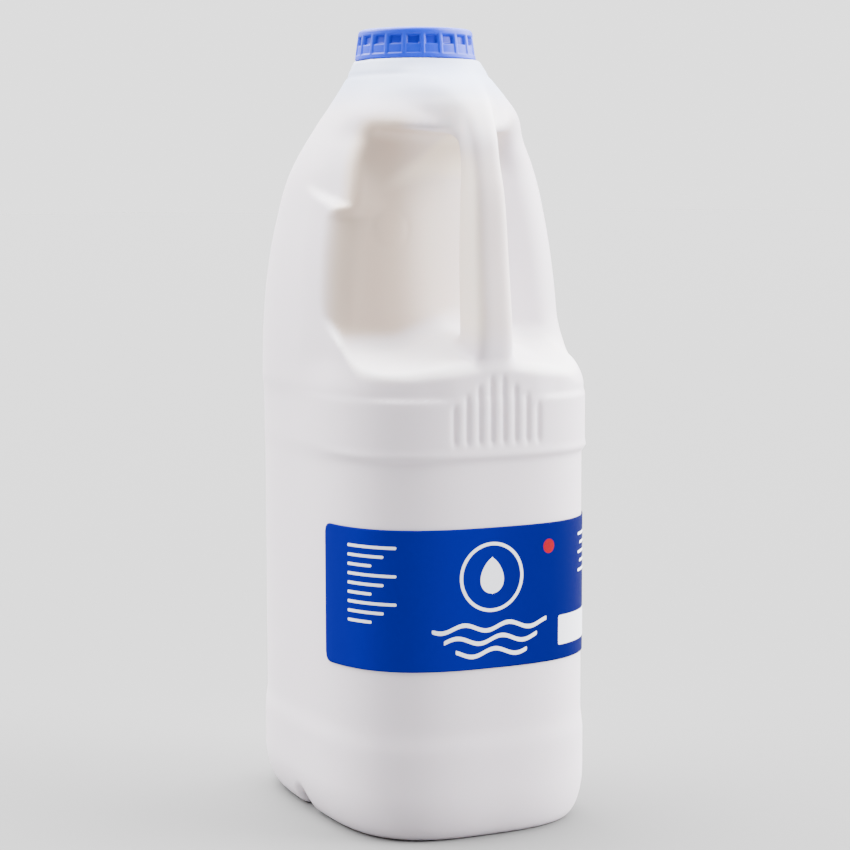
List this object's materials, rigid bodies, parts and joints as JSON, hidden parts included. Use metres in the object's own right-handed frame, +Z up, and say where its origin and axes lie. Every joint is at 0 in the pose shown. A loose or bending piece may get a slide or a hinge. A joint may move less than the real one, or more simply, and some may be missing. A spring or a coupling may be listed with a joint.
{
  "type": "plastic milk jug",
  "caption": "Shut translucent plastic milk jug with a built-in side handle, hand recess, grip ribs, ribbed screw cap and plain wrap label, for holding and pouring milk.",
  "frame": {"origin": "middle of the base, on the plane the jug stands on", "axes": "+Z up along the jug to the cap, -Y towards the handle side, X across the jug"},
  "size_m": [0.0948, 0.121, 0.2686],
  "materials": {
    "bottle_plastic": "satin milky polyethylene",
    "cap_plastic": "satin blue polyethylene",
    "label_film": "printed blue film"
  },
  "bodies": {
    "root": {"bottle": "bottle_plastic", "cap": "cap_plastic", "label": "label_film"}
  },
  "joints": []
}
